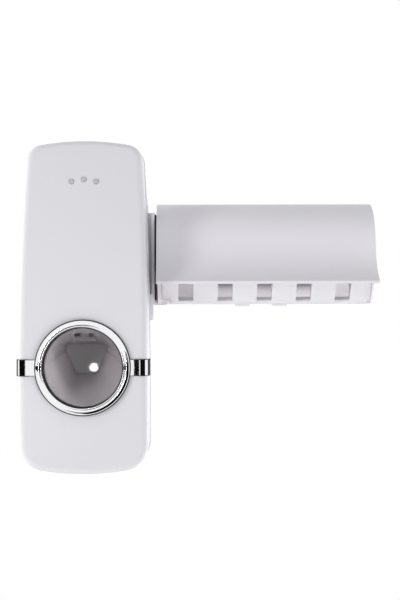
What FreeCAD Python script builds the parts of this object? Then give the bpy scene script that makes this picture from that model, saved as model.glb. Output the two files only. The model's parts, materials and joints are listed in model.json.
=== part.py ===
import FreeCAD, Part
import math
import os

os.makedirs("parts", exist_ok=True)

# Wall-hung toothpaste dispenser with a five-brush holder beside it, in millimetres.
# The origin is the centre of the dispenser's wall pad, on the wall. +Z is up, +X is to
# the right seen from the front, and the front faces -Y. Heights, depths and widths below
# are measured from the wall, from the middle of the dispenser, or as their names say.

# Gaps and overrun that all pieces share
cut_overrun = 1.0
slide_gap = 0.3
pin_gap = 0.05
seat_gap = 0.1

# Dispenser body seen from the front
body_height = 165.0
body_half_width_middle = 31.6
body_bottom_flare = 0.1
body_top_taper = 2.7
top_arch_radius = 120.0
bottom_arch_radius = 125.0
top_corner_radius = 9.0
bottom_corner_radius = 13.5

# Dispenser body seen from the side, measured out from the wall
front_at_bottom = 57.0
front_at_ring = 61.0
front_at_top = 47.0
parting_from_wall = 34.0
body_back_gap = 1.6
body_wall = 2.0
front_edge_radius = 4.0
back_edge_radius = 1.5
housing_overhang = 0.4

# Tongue of the rear housing that centres the cover
tongue_thickness = 1.2
tongue_reach = 3.0
tongue_root = 0.5

# Chrome ring, its seat in the cover and its two side arms
ring_above_bottom = 52.5
ring_from_side = 8.5
ring_width = 3.6
ring_proud = 2.5
ring_crown = 1.1
ring_seat_depth = 1.2
ring_seat_wall = 2.4
ring_sleeve_wall = 1.4
ring_boss_width = 3.0
arm_height = 7.5
arm_proud = 0.9
arm_side_proud = 0.3
arm_root = 1.5
arm_wrap = 8.0

# Round pips on the cover
pip_radius = 1.3
pip_proud = 0.5
pip_round = 0.4
pip_pitch = 6.1
pip_below_top = 21.0
pip_middle_rise = 1.0

# Snap tongues of the cover
snap_width = 12.0
snap_thickness = 1.4
snap_length = 9.0
snap_from_end = 24.0

# Push cup
rim_gap = 0.4
rim_beyond_ring = 1.3
rim_thickness = 1.6
rim_ledge = 0.6
cup_wall = 1.6
cup_depth = 23.0
cup_back_top_half_width = 13.2
cup_back_bottom_half_width = 6.6
cup_back_below_mouth_top = 7.7
cup_back_height = 18.0
cup_back_corner = 2.4
nozzle_slot_half_width = 5.0
nozzle_slot_half_length = 5.5

# Pivot of the push cup
pivot_behind_rim = 11.0
pivot_above_rim = 3.2
pivot_pin_radius = 1.5
pivot_lug_radius = 4.0

# Carrier behind the push cup
carrier_thickness = 2.2
carrier_side_gap = 0.9
carrier_below_cup = 12.5
carrier_above_cup = 3.5
carrier_arm_thickness = 2.0
clip_length = 4.0
clip_thickness = 3.4
clip_half_width = 4.3

# Pump frame inside the housing
frame_from_wall = 14.0
frame_thickness = 2.0
frame_side_gap = 1.3
frame_below_ring = 38.0
frame_shoulder_below_deck = 13.0
deck_above_pivot = 8.0
deck_thickness = 3.0
deck_side_gap = 0.4
ear_thickness = 1.9
ear_gap = 0.6

# Screws and their posts
screw_from_side = 5.6
screw_low_below_ring = 32.0
screw_high_above_ring = 13.5
post_radius = 3.1
screw_radius = 1.3
screw_head_radius = 2.6
screw_head_height = 1.8
screw_length = 8.0
screw_slot_half_length = 1.3
screw_slot_half_width = 0.35
screw_slot_depth = 0.9

# Pump cylinder, piston and spring
pump_below_ring = 4.0
pump_bore_radius = 8.0
pump_wall = 1.6
pump_end_from_wall = 8.0
pump_length = 15.0
pump_flange_radius = 13.0
pump_flange_thickness = 2.0
piston_rest_inset = 0.5
piston_head_length = 4.0
piston_radial_gap = 0.3
piston_rod_radius = 4.0
rod_tip_share = 0.9
seal_width = 1.6
seal_depth = 1.1
spring_wire_radius = 0.5
spring_coil_radius = 12.5
spring_turns = 4.5

# Valve block, ducts and nozzle
inlet_from_wall = 24.0
block_half_width = 9.5
block_height = 12.0
block_front_beyond_inlet = 10.0
block_back_from_wall = 8.3
block_bore_radius = 4.0
block_floor = 1.6
gallery_rise = 0.4
valve_radius = 6.4
valve_thickness = 1.2
valve_slit = 0.4
outlet_below_deck = 5.5
outlet_bore_radius = 2.5
outlet_wall = 1.2
outlet_valve_radius = 3.2
riser_bore_radius = 1.9
riser_wall = 1.0
riser_from_wall = 11.0
elbow_drop = 7.0
nozzle_length = 4.5
nozzle_root_radius = 3.2
nozzle_tip_radius = 2.2
nozzle_bore_radius = 1.6

# Rubber collar that takes the neck of the tube
neck_radius = 6.6
collar_radius = 9.0
collar_flange_radius = 12.0
collar_flange_thickness = 3.0
neck_relief_radius = 7.4
neck_relief_depth = 0.6
collar_rim_radius = 1.0

# Wall plate of the dispenser
pad_thickness = 1.0
pad_corner_radius = 2.0
plate_neck_thickness = 2.2
plate_head_thickness = 2.0
plate_half_width = 17.0
plate_lip = 4.0
plate_half_height = 28.0
channel_lip_thickness = 1.3
channel_back_wall = 1.8

# Side slots of the dispenser and the bracket in the right one
slot_from_wall = 19.0
slot_mouth_half = 5.3
slot_lip = 3.0
slot_top_below_top = 34.2
slot_below_deck = 9.3
slot_window_height = 13.9
slot_mouth_depth = 2.2
slot_chamber_depth = 3.0
slot_wall = 1.6
bracket_head_thickness = 2.2
bracket_plate_gap = 0.7
bracket_plate_thickness = 1.7
bracket_plate_above_slot = 7.9
bracket_edge_round = 0.6
bracket_foot_proud = 1.6
bracket_hook_below_slot_top = 12.3
bracket_hook_thickness = 2.0

# Lid of the brush holder: a sheet with a round back and a flared lip
lid_bracket_gap = 0.9
lid_wall = 1.8
lid_lip_round = 0.7
lid_above_slot = 5.3
lid_back_from_wall = 7.5
lid_flat = 1.0
lid_round_radius = 24.0
lid_round_angle = 80.0
lid_straight = 4.5
lid_flare_radius = 22.5
lid_flare_angle = 58.0
lid_case_gap = 0.4
lid_hinge_from_wall = 9.5
lid_hinge_below_top = 5.0
lid_lug_radius = 2.8
lid_lug_thickness = 3.0
lid_web_back_share = 0.7
lid_stub_radius = 1.5
lid_end_play = 0.4
hinge_clearance_radius = 5.8

# Case of the brush holder
case_inset = 0.7
case_wall = 2.0
case_front_from_wall = 38.0
case_front_below_lid = 38.4
case_front_drop = 2.6
case_bend_radius = 3.0
case_slope_angle = 45.0
case_slant = 12.2
case_round_radius = 10.0
case_back_gap = 1.6
case_back_below_lid = 1.6

# Slotted front of the brush holder
slot_count = 5
brush_slot_width = 7.7
brush_slot_pitch = 20.0
first_slot_from_lid_left = 15.0
last_slot_from_lid_right = 17.0
brush_slot_above_bottom = 1.65
guide_thickness = 1.2
guide_depth = 11.0
guide_below_front_top = 3.2
comb_ledge_depth = 6.0
comb_ledge_thickness = 1.5
comb_tab_width = 7.8
comb_tab_thickness = 3.0
comb_tab_drop = 1.3
comb_tab_spacing = 19.1
comb_tab_from_lid_left = 44.5
comb_tab_inset = 3.0

# Drain holes in the bottom of the case, one behind each brush slot
drain_half_length = 7.0
drain_behind_ledge = 1.0
drain_before_channel = 1.2

# Wall plate of the brush holder
holder_plate_half_width = 30.0
holder_plate_below_lid = 43.6
holder_plate_height = 30.0
holder_lip_height = 28.0

# Places worked out from the sizes above
half_height = body_height / 2
body_half_width_bottom = body_half_width_middle + body_bottom_flare
body_half_width_top = body_half_width_middle - body_top_taper
housing_side = body_half_width_middle + housing_overhang
ring_z = ring_above_bottom - half_height
ring_outer_radius = body_half_width_middle - ring_from_side
ring_inner_radius = ring_outer_radius - ring_width
rim_radius = ring_inner_radius + rim_beyond_ring
cup_mouth_radius = rim_radius - rim_ledge
parting_y = -parting_from_wall
rim_y = -(front_at_ring - ring_seat_depth - ring_seat_wall - rim_gap)
cup_back_y = rim_y + cup_depth
cup_back_top = ring_z + cup_mouth_radius - cup_back_below_mouth_top
cup_back_bottom = cup_back_top - cup_back_height
pivot_y = rim_y + pivot_behind_rim
pivot_z = ring_z + rim_radius + pivot_above_rim
carrier_back_y = cup_back_y + carrier_thickness
frame_back_y = -frame_from_wall
frame_front_y = frame_back_y - frame_thickness
deck_z = pivot_z + deck_above_pivot
pump_z = ring_z - pump_below_ring
pump_outer_radius = pump_bore_radius + pump_wall
pump_front_y = -(pump_end_from_wall + pump_length)
inlet_y = -inlet_from_wall
outlet_z = deck_z - outlet_below_deck
plate_face_y = -(pad_thickness + plate_neck_thickness)
plate_front_y = plate_face_y - plate_head_thickness
channel_floor_y = plate_front_y - slide_gap
channel_wall_y = channel_floor_y - channel_back_wall
slot_y = -slot_from_wall
slot_top = half_height - slot_top_below_top
slot_bottom = deck_z - slot_below_deck
slot_window_top = slot_bottom + slot_window_height
slot_mouth_from_axis = housing_side - slot_mouth_depth
slot_chamber_from_axis = slot_mouth_from_axis - slot_chamber_depth
deck_half_width = slot_chamber_from_axis - slot_wall - deck_side_gap
carrier_half_width = deck_half_width - ear_thickness - carrier_side_gap - carrier_arm_thickness
frame_half_width = body_half_width_middle - body_wall - frame_side_gap
screw_half_spacing = body_half_width_middle - screw_from_side
bracket_plate_left = housing_side + bracket_plate_gap
bracket_plate_right = bracket_plate_left + bracket_plate_thickness
bracket_plate_bottom = slot_bottom + bracket_plate_above_slot
bracket_foot_right = housing_side + bracket_foot_proud
bracket_hook_top = slot_top - bracket_hook_below_slot_top
lid_left = bracket_plate_right + lid_bracket_gap
lid_top = slot_top + lid_above_slot
case_front_top = lid_top - case_front_below_lid
case_back_top = lid_top - case_back_below_lid
guide_top = case_front_top - guide_below_front_top
lid_length = first_slot_from_lid_left + (slot_count - 1) * brush_slot_pitch + last_slot_from_lid_right
lid_right = lid_left + lid_length
case_left = lid_left + case_inset
case_right = lid_right - case_inset
case_middle = (case_left + case_right) / 2
hinge_y = -lid_hinge_from_wall
hinge_z = lid_top - lid_hinge_below_top
holder_plate_bottom = lid_top - holder_plate_below_lid
holder_plate_top = holder_plate_bottom + holder_plate_height


def point(x, y, z):
    return FreeCAD.Vector(x, y, z)


def box(x_range, y_range, z_range):
    """Block between two values along each axis, given in either order."""
    low = [min(pair) for pair in (x_range, y_range, z_range)]
    size = [max(pair) - min(pair) for pair in (x_range, y_range, z_range)]
    return Part.makeBox(size[0], size[1], size[2], point(low[0], low[1], low[2]))


def rod(radius, start, end):
    """Round bar from one point to another."""
    along = end.sub(start)
    return Part.makeCylinder(radius, along.Length, start, along)


def both_sides(shape):
    """The shape and its mirror image left of the dispenser's middle."""
    return [shape, shape.mirror(point(0, 0, 0), point(1, 0, 0))]


def save(name, shape):
    solids = shape.Solids
    volume = sum(solid.Volume for solid in solids)
    print(f"{name}: {len(solids)} solid(s), {volume:.1f} mm3, valid {shape.isValid()}")
    if len(solids) == 1:
        shape = solids[0]
    shape.exportStep(f"parts/{name}.step")


def trace(start, heading, moves, offset):
    """Edges of a path in the YZ plane, moved to its left by offset.

    A move is (length, 0, 0) for a straight run or (0, radius, turn) for an arc."""
    y, z = start
    angle = math.radians(heading)

    def beside(py, pz, direction):
        return point(0, py - offset * math.sin(direction), pz + offset * math.cos(direction))

    edges = []
    for length, radius, turn in moves:
        first = beside(y, z, angle)
        if radius == 0:
            y, z = y + length * math.cos(angle), z + length * math.sin(angle)
            edges.append(Part.LineSegment(first, beside(y, z, angle)).toShape())
            continue
        side = math.copysign(radius, turn)
        centre_y, centre_z = y - side * math.sin(angle), z + side * math.cos(angle)
        passed = []
        for share in (0.5, 1.0):
            now = angle + math.radians(turn) * share
            y, z = centre_y + side * math.sin(now), centre_z - side * math.cos(now)
            passed.append(beside(y, z, now))
        angle = now
        edges.append(Part.Arc(first, passed[0], passed[1]).toShape())
    return edges


def ends(edges):
    """First and last point of a traced path."""
    return edges[0].firstVertex(True).Point, edges[-1].lastVertex(True).Point


def close(edges, corners):
    """Face inside a traced path that the corner points close."""
    first, last = ends(edges)
    loop = [last] + corners + [first]
    sides = [Part.LineSegment(a, b).toShape() for a, b in zip(loop, loop[1:])]
    return Part.Face(Part.Wire(edges + sides))


def ribbon(start, heading, moves, near, far):
    """Face between two copies of a path, one at each offset."""
    inner = trace(start, heading, moves, far)
    outer = trace(start, heading, moves, near)
    inner_first, inner_last = ends(inner)
    outer_first, outer_last = ends(outer)
    caps = [Part.LineSegment(outer_last, inner_last).toShape(),
            Part.LineSegment(inner_first, outer_first).toShape()]
    return Part.Face(Part.Wire(Part.sortEdges(outer + inner + caps)[0]))


def along_x(face, left, right):
    """Solid that a face in the YZ plane makes from one X to another."""
    moved = face.copy()
    moved.translate(point(left, 0, 0))
    return moved.extrude(point(right - left, 0, 0))


# The dispenser's body


def body_outline(inset):
    """Front outline of the dispenser, moved in by inset: four arcs and sharp corners."""
    half = half_height - inset
    low = body_half_width_bottom - inset
    middle = body_half_width_middle - inset
    high = body_half_width_top - inset
    low_radius = bottom_arch_radius - inset
    high_radius = top_arch_radius - inset
    low_z = low_radius - half - math.sqrt(low_radius ** 2 - low ** 2)
    high_z = half - high_radius + math.sqrt(high_radius ** 2 - high ** 2)
    stops = [point(-low, 0, low_z), point(0, 0, -half), point(low, 0, low_z),
             point(middle, 0, 0), point(high, 0, high_z), point(0, 0, half),
             point(-high, 0, high_z), point(-middle, 0, 0), point(-low, 0, low_z)]
    arcs = [Part.Arc(*stops[i:i + 3]).toShape() for i in (0, 2, 4, 6)]
    return Part.Wire(arcs)


def body_prism(inset, back_y, front_y):
    """Straight block with the dispenser's rounded outline."""
    face = Part.Face(body_outline(inset))
    face.translate(point(0, back_y, 0))
    block = face.extrude(point(0, front_y - back_y, 0))
    for top in (True, False):
        corner = (top_corner_radius if top else bottom_corner_radius) - inset
        edges = [edge for edge in block.Edges if runs_along_y(edge)
                 and (edge.CenterOfMass.z > 0) == top]
        block = block.makeFillet(corner, edges)
    return block


def runs_along_y(edge):
    first, last = edge.firstVertex().Point, edge.lastVertex().Point
    level = math.hypot(first.x - last.x, first.z - last.z)
    return level < pin_gap and abs(first.y - last.y) > pin_gap


def front_circle():
    """Centre (y, z) and radius of the arc that the front follows from bottom to top."""
    places = [point(0, -front_at_bottom, -half_height), point(0, -front_at_ring, ring_z),
              point(0, -front_at_top, half_height)]
    circle = Part.Arc(*places).toShape().Curve
    return circle.Center.y, circle.Center.z, circle.Radius


def front_y(z, inset):
    """Y of the dispenser's front, moved in by inset, at a height."""
    centre_y, centre_z, radius = front_circle()
    return centre_y - math.sqrt((radius - inset) ** 2 - (z - centre_z) ** 2)


def body_block(inset, back_y):
    """Block with the rounded outline and the curved front, from back_y forwards."""
    reach = half_height + cut_overrun
    deepest = -max(front_at_bottom, front_at_ring, front_at_top)
    prism = body_prism(inset, back_y, deepest + inset - front_edge_radius)
    low, middle, high = (point(0, front_y(z, inset), z) for z in (-reach, 0, reach))
    corners = [point(0, back_y + cut_overrun, reach), point(0, back_y + cut_overrun, -reach)]
    profile = close([Part.Arc(low, middle, high).toShape()], corners)
    width = max(body_half_width_bottom, body_half_width_middle, body_half_width_top)
    block = prism.common(along_x(profile, -width - cut_overrun, width + cut_overrun))
    front = min(block.Faces, key=lambda face: face.CenterOfMass.y)
    return block.makeFillet(front_edge_radius - inset, front.Edges)


def make_front_cover():
    """Cover shell with the ring's seat, the boss behind it and four snap tongues."""
    back_y = parting_y - slide_gap
    cavity = body_block(body_wall, back_y + cut_overrun)
    cover = body_block(0, back_y).cut(cavity)
    seat_y = -(front_at_ring - ring_seat_depth)
    boss_y = seat_y + ring_seat_wall
    hole_radius = ring_inner_radius + ring_sleeve_wall + seat_gap
    boss_radius = ring_outer_radius + ring_boss_width
    boss = rod(boss_radius, point(0, boss_y, ring_z), point(0, seat_y, ring_z)).common(cavity)
    cover = cover.fuse(boss)
    front = point(0, -front_at_ring - cut_overrun, ring_z)
    seat = rod(ring_outer_radius + seat_gap, front, point(0, seat_y, ring_z))
    hole = rod(hole_radius, front, point(0, boss_y + cut_overrun, ring_z))
    cover = cover.cut(seat).cut(hole)
    for socket in pips(pip_radius + seat_gap, body_wall):
        cover = cover.cut(socket)
    return cover.fuse(snap_tongues()).removeSplitter()


def snap_tongues():
    """Four flat tongues behind the cover's side walls that grip the housing."""
    tongues = []
    back_y = parting_y + snap_length
    for z in (half_height - snap_from_end, snap_from_end - half_height):
        narrowest = min(half_width_at(z - snap_width / 2), half_width_at(z + snap_width / 2))
        outer = narrowest - body_wall
        inner = outer - slide_gap - tongue_thickness - slide_gap
        blade = box((inner - snap_thickness, inner), (back_y, parting_y - snap_length),
                    (z - snap_width / 2, z + snap_width / 2))
        root = box((inner - snap_thickness, outer + body_wall / 2),
                   (parting_y - snap_length, parting_y - tongue_reach - slide_gap * 2),
                   (z - snap_width / 2, z + snap_width / 2))
        tongues += both_sides(blade.fuse(root))
    return tongues


def half_width_at(z):
    """Half width of the dispenser's outline at a height between its corners."""
    low_radius, high_radius = bottom_arch_radius, top_arch_radius
    low, high = body_half_width_bottom, body_half_width_top
    low_z = low_radius - half_height - math.sqrt(low_radius ** 2 - low ** 2)
    high_z = half_height - high_radius + math.sqrt(high_radius ** 2 - high ** 2)
    places = [point(low, 0, low_z), point(body_half_width_middle, 0, 0), point(high, 0, high_z)]
    circle = Part.Arc(*places).toShape().Curve
    return circle.Center.x + math.sqrt(circle.Radius ** 2 - (z - circle.Center.z) ** 2)


def pips(radius, depth):
    """Three round studs in a low arch across the upper part of the cover."""
    studs = []
    for place, rise in ((-1, 0), (0, pip_middle_rise), (1, 0)):
        x = place * pip_pitch
        z = half_height - pip_below_top + rise
        surface = front_y(z, 0)
        studs.append(rod(radius, point(x, surface + depth, z), point(x, surface - pip_proud, z)))
    return studs


def make_cover_pips():
    rounded = []
    for stud in pips(pip_radius, body_wall / 2):
        front = min(stud.Faces, key=lambda face: face.CenterOfMass.y)
        rounded.append(stud.makeFillet(pip_round, front.Edges))
    return Part.makeCompound(rounded)


def make_chrome_ring():
    """Crowned band with a sleeve through the cover, and an arm to each side."""
    seat_y = -(front_at_ring - ring_seat_depth)
    sleeve_y = seat_y + ring_seat_wall
    face_y = -(front_at_ring + ring_proud)
    shoulder_y = face_y + ring_crown
    inner, outer = ring_inner_radius, ring_outer_radius
    middle = (inner + outer) / 2
    sleeve = inner + ring_sleeve_wall
    crown = Part.Arc(point(inner, shoulder_y, 0), point(middle, face_y, 0),
                     point(outer, shoulder_y, 0)).toShape()
    corners = [point(outer, shoulder_y, 0), point(outer, seat_y, 0), point(sleeve, seat_y, 0),
               point(sleeve, sleeve_y, 0), point(inner, sleeve_y, 0), point(inner, shoulder_y, 0)]
    sides = [Part.LineSegment(a, b).toShape() for a, b in zip(corners, corners[1:])]
    section = Part.Face(Part.Wire([crown] + sides))
    band = section.revolve(point(0, 0, 0), point(0, 1, 0), 360)
    band.translate(point(0, 0, ring_z))
    return band.fuse(both_sides(ring_arm())).removeSplitter()


def ring_arm():
    """Right arm: a flat strip from the ring that turns round the cover's edge."""
    side = half_width_at(ring_z)
    corner_x, corner_y = side - front_edge_radius, front_edge_radius - front_at_ring
    centre = point(corner_x, corner_y, 0)
    radius = front_edge_radius + seat_gap
    near = [point(corner_x, corner_y - radius, 0), point(corner_x + radius, corner_y, 0)]
    halfway = centre + point(radius, -radius, 0) * math.sqrt(0.5)
    far = [near[0] - point(0, arm_proud, 0), near[1] + point(arm_side_proud, 0, 0)]
    bends = [Part.Arc(near[0], halfway, near[1]),
             Part.ArcOfEllipse(Part.Ellipse(*far, centre), 0, math.pi / 2)]
    edges = []
    for (start, end), bend in zip((near, far), bends):
        root = point(ring_outer_radius - arm_root, start.y, 0)
        tail = point(end.x, corner_y + arm_wrap, 0)
        edges += [Part.LineSegment(root, start).toShape(), bend.toShape(),
                  Part.LineSegment(end, tail).toShape()]
    inner, outer = edges[:3], edges[3:]
    caps = [Part.LineSegment(inner[i].Vertexes[j].Point, outer[i].Vertexes[j].Point).toShape()
            for i, j in ((0, 0), (2, 1))]
    section = Part.Face(Part.Wire(Part.sortEdges(inner + outer + caps)[0]))
    section.translate(point(0, 0, ring_z - arm_height / 2))
    return section.extrude(point(0, 0, arm_height))


def make_rear_housing():
    """Back shell: wall channel, two side slots, four screw posts and the cover's tongue."""
    back_y = -body_back_gap
    block = body_prism(-housing_overhang, back_y, parting_y)
    back = max(block.Faces, key=lambda face: face.CenterOfMass.y)
    block = block.makeFillet(back_edge_radius, back.Edges)
    cavity = body_prism(body_wall, back_y - body_wall, parting_y - cut_overrun)
    shell = block.cut(cavity)
    tongue_outer = body_prism(body_wall + slide_gap, parting_y + tongue_reach,
                              parting_y - tongue_reach)
    tongue_inner = body_prism(body_wall + slide_gap + tongue_thickness,
                              parting_y + tongue_reach + cut_overrun,
                              parting_y - tongue_reach - cut_overrun)
    shelf = body_prism(body_wall - tongue_root, parting_y + tongue_reach, parting_y)
    tongue = tongue_outer.fuse(shelf).cut(tongue_inner)
    channel_wall = wall_channel_block(channel_wall_y, half_height)
    posts = [rod(post_radius, point(x, back_y - body_wall / 2, z), point(x, frame_back_y, z))
             for x, z in screw_places()]
    pods = both_sides(side_slot_block())
    shell = shell.fuse([tongue] + posts + [solid.common(block) for solid in [channel_wall] + pods])
    for x, z in screw_places():
        tip = point(x, frame_front_y + screw_length, z)
        shell = shell.cut(rod(screw_radius + pin_gap, tip, point(x, frame_front_y, z)))
    for cut in [dispenser_channel()] + both_sides(side_slot_cut()):
        shell = shell.cut(cut)
    return shell.removeSplitter()


def screw_places():
    heights = (ring_z - screw_low_below_ring, ring_z + screw_high_above_ring)
    return [(x, z) for x in (-screw_half_spacing, screw_half_spacing) for z in heights]


def channel_half_width():
    return plate_half_width + plate_lip + slide_gap


def wall_channel_block(front, bottom_reach):
    """Thick middle of the housing's back that the wall channel is cut into."""
    half = channel_half_width() + body_wall
    top = plate_half_height + slide_gap + body_wall
    return box((-half, half), (-body_back_gap, front), (-bottom_reach, top))


def dispenser_channel():
    """Channel for the wall plate, open at the bottom, with lips along the plate."""
    half = channel_half_width()
    top = plate_half_height + slide_gap
    lip_y = -(body_back_gap + channel_lip_thickness)
    bottom = -half_height - body_wall
    head = box((-half, half), (lip_y, channel_floor_y), (bottom, top))
    mouth_half = plate_half_width + slide_gap
    mouth = box((-mouth_half, mouth_half), (0, lip_y), (-plate_half_height, top))
    entry = box((-half, half), (0, lip_y), (bottom, -plate_half_height))
    return head.fuse([mouth, entry])


def side_slot_block():
    """Pod inside the right wall that the side slot is cut into."""
    half = slot_mouth_half + slot_lip + slot_wall
    inner = slot_chamber_from_axis - slot_wall
    return box((inner, body_half_width_middle), (slot_y - half, slot_y + half),
               (slot_bottom - slot_wall, slot_top + slot_wall))


def side_slot_cut():
    """T slot with a full-width window at its foot, where a bracket enters."""
    half = slot_mouth_half + slot_lip
    outside = bracket_plate_left
    chamber = box((slot_chamber_from_axis, slot_mouth_from_axis), (slot_y - half, slot_y + half),
                  (slot_bottom, slot_top))
    mouth = box((slot_mouth_from_axis, outside),
                (slot_y - slot_mouth_half, slot_y + slot_mouth_half), (slot_bottom, slot_top))
    window = box((slot_mouth_from_axis, outside), (slot_y - half, slot_y + half),
                 (slot_bottom, slot_window_top))
    return chamber.fuse([mouth, window])


def make_side_bracket():
    """Coupler: head in the dispenser's slot, foot in its window, hook for the holder."""
    head_half = slot_mouth_half + slot_lip - slide_gap
    neck_half = slot_mouth_half - slide_gap
    head_top = slot_top - slide_gap
    head_right = slot_mouth_from_axis - slide_gap
    head_left = head_right - bracket_head_thickness
    hook_right = case_left + case_wall + slide_gap + bracket_hook_thickness
    hook_left = hook_right - bracket_hook_thickness
    wide = (slot_y - head_half, slot_y + head_half)
    narrow = (slot_y - neck_half, slot_y + neck_half)
    head = box((head_left, head_right), wide, (slot_bottom + slide_gap, head_top))
    foot = box((head_left, bracket_foot_right), wide,
               (slot_bottom + slide_gap, slot_window_top - slide_gap))
    stem = box((head_left, bracket_plate_left), narrow, (slot_bottom + slide_gap, head_top))
    plate = box((bracket_plate_left, bracket_plate_right), wide, (bracket_plate_bottom, head_top))
    upright = [edge for edge in plate.Edges if edge.CenterOfMass.x > bracket_plate_left
               and edge.BoundBox.XLength + edge.BoundBox.YLength < pin_gap]
    plate = plate.makeFillet(bracket_edge_round, upright)
    neck = box((bracket_plate_left, hook_left), narrow, (bracket_plate_bottom, bracket_hook_top))
    hook = box((hook_left, hook_right), wide, (bracket_plate_bottom, bracket_hook_top))
    return head.fuse([foot, stem, plate, neck, hook]).removeSplitter()


# The pump inside the dispenser


def make_pump_chassis():
    """Upright frame, the deck that the tube stands over, and an ear each side."""
    deck_top = deck_z + deck_thickness
    shoulder_z = deck_z - frame_shoulder_below_deck
    bottom = ring_z - frame_below_ring
    ear_front = pivot_y - pivot_lug_radius - ear_gap
    ear_back = pivot_y + pivot_lug_radius + ear_gap
    lower = box((-frame_half_width, frame_half_width), (frame_back_y, frame_front_y),
                (bottom, shoulder_z))
    upper = box((-deck_half_width, deck_half_width), (frame_back_y, frame_front_y),
                (shoulder_z, deck_top))
    deck = box((-deck_half_width, deck_half_width), (frame_back_y, ear_front), (deck_z, deck_top))
    ear = box((deck_half_width - ear_thickness, deck_half_width), (ear_front, ear_back),
              (pivot_z - pivot_lug_radius, deck_top))
    rib = box((deck_half_width - ear_thickness, deck_half_width), (frame_front_y, ear_back),
              (deck_z - ear_thickness, deck_top))
    frame = lower.fuse([upper, deck] + both_sides(ear) + both_sides(rib))
    notch_half = block_half_width + slide_gap
    notch = box((-notch_half, notch_half), (frame_back_y + cut_overrun, frame_front_y - cut_overrun),
                (deck_z - block_height - slide_gap, deck_z))
    bore = rod(pump_outer_radius + seat_gap, point(0, frame_back_y + cut_overrun, pump_z),
               point(0, frame_front_y - cut_overrun, pump_z))
    neck = rod(collar_radius + seat_gap, point(0, inlet_y, deck_z - cut_overrun),
               point(0, inlet_y, deck_top + cut_overrun))
    pins = rod(pivot_pin_radius + pin_gap, point(-deck_half_width - cut_overrun, pivot_y, pivot_z),
               point(deck_half_width + cut_overrun, pivot_y, pivot_z))
    frame = frame.cut(notch).cut(bore).cut(neck).cut(pins)
    for x, z in screw_places():
        hole = rod(screw_radius + seat_gap, point(x, frame_back_y + cut_overrun, z),
                   point(x, frame_front_y - cut_overrun, z))
        frame = frame.cut(hole)
    return frame.removeSplitter()


def make_chassis_screws():
    screws = []
    for x, z in screw_places():
        head = rod(screw_head_radius, point(x, frame_front_y, z),
                   point(x, frame_front_y - screw_head_height, z))
        front = min(head.Faces, key=lambda face: face.CenterOfMass.y)
        head = head.makeFillet(screw_head_height / 2, front.Edges)
        shank = rod(screw_radius, point(x, frame_front_y + screw_length, z),
                    point(x, frame_front_y, z))
        face_y = frame_front_y - screw_head_height
        slot = box((x - screw_slot_half_length, x + screw_slot_half_length),
                   (face_y + screw_slot_depth, face_y),
                   (z - screw_slot_half_width, z + screw_slot_half_width))
        cross = slot.copy()
        cross.rotate(point(x, 0, z), point(0, 1, 0), 90)
        screws.append(head.fuse(shank).cut(slot).cut(cross))
    return Part.makeCompound(screws)


def make_inlet_collar():
    flange_z = deck_z + deck_thickness
    top_z = flange_z + collar_flange_thickness
    stem = rod(collar_radius, point(0, inlet_y, deck_z), point(0, inlet_y, flange_z))
    flange = rod(collar_flange_radius, point(0, inlet_y, flange_z), point(0, inlet_y, top_z))
    bore = rod(neck_radius, point(0, inlet_y, deck_z - cut_overrun),
               point(0, inlet_y, top_z + cut_overrun))
    relief = rod(neck_relief_radius, point(0, inlet_y, deck_z - cut_overrun),
                 point(0, inlet_y, deck_z + neck_relief_depth))
    collar = stem.fuse(flange).cut(bore.fuse(relief))
    rim = [edge for edge in collar.Edges if abs(edge.CenterOfMass.z - top_z) < seat_gap
           and edge.Closed]
    return collar.makeFillet(collar_rim_radius, rim)


def make_valve_block():
    """Block under the deck: the inlet from above, the outlet forwards, the riser below."""
    front = inlet_y - block_front_beyond_inlet
    back = -block_back_from_wall
    bottom = deck_z - block_height
    block = box((-block_half_width, block_half_width), (front, back), (bottom, deck_z))
    seat = rod(valve_radius + seat_gap, point(0, inlet_y, deck_z + cut_overrun),
               point(0, inlet_y, deck_z - valve_thickness))
    bore = rod(block_bore_radius, point(0, inlet_y, deck_z), point(0, inlet_y, bottom + block_floor))
    outlet = rod(outlet_bore_radius, point(0, inlet_y, outlet_z),
                 point(0, front - cut_overrun, outlet_z))
    outlet_seat = rod(outlet_valve_radius + seat_gap, point(0, front + valve_thickness, outlet_z),
                      point(0, front - cut_overrun, outlet_z))
    gallery_z = bottom + block_floor + gallery_rise + riser_bore_radius
    gallery = rod(riser_bore_radius, point(0, inlet_y, gallery_z),
                  point(0, -riser_from_wall, gallery_z))
    drop = rod(riser_bore_radius, point(0, -riser_from_wall, gallery_z),
               point(0, -riser_from_wall, bottom - cut_overrun))
    return block.cut(seat).cut(bore).cut(outlet).cut(outlet_seat).cut(gallery).cut(drop)


def slit_disc(centre, axis, radius):
    """Rubber disc with a cross slit that opens one way."""
    across = point(1, 0, 0)
    disc = Part.makeCylinder(radius, valve_thickness, centre, axis)
    blade = Part.makeBox(radius, valve_slit, valve_thickness + cut_overrun * 2)
    blade.translate(point(-radius / 2, -valve_slit / 2, -cut_overrun))
    turn = FreeCAD.Rotation(point(0, 0, 1), axis)
    for angle in (0, 90):
        cutter = blade.copy()
        cutter.Placement = FreeCAD.Placement(centre, turn.multiply(
            FreeCAD.Rotation(point(0, 0, 1), angle))).multiply(cutter.Placement)
        disc = disc.cut(cutter)
    return disc


def make_inlet_valve():
    return slit_disc(point(0, inlet_y, deck_z - valve_thickness), point(0, 0, 1), valve_radius)


def make_outlet_valve():
    front = inlet_y - block_front_beyond_inlet
    return slit_disc(point(0, front + valve_thickness, outlet_z), point(0, -1, 0),
                     outlet_valve_radius)


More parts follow.
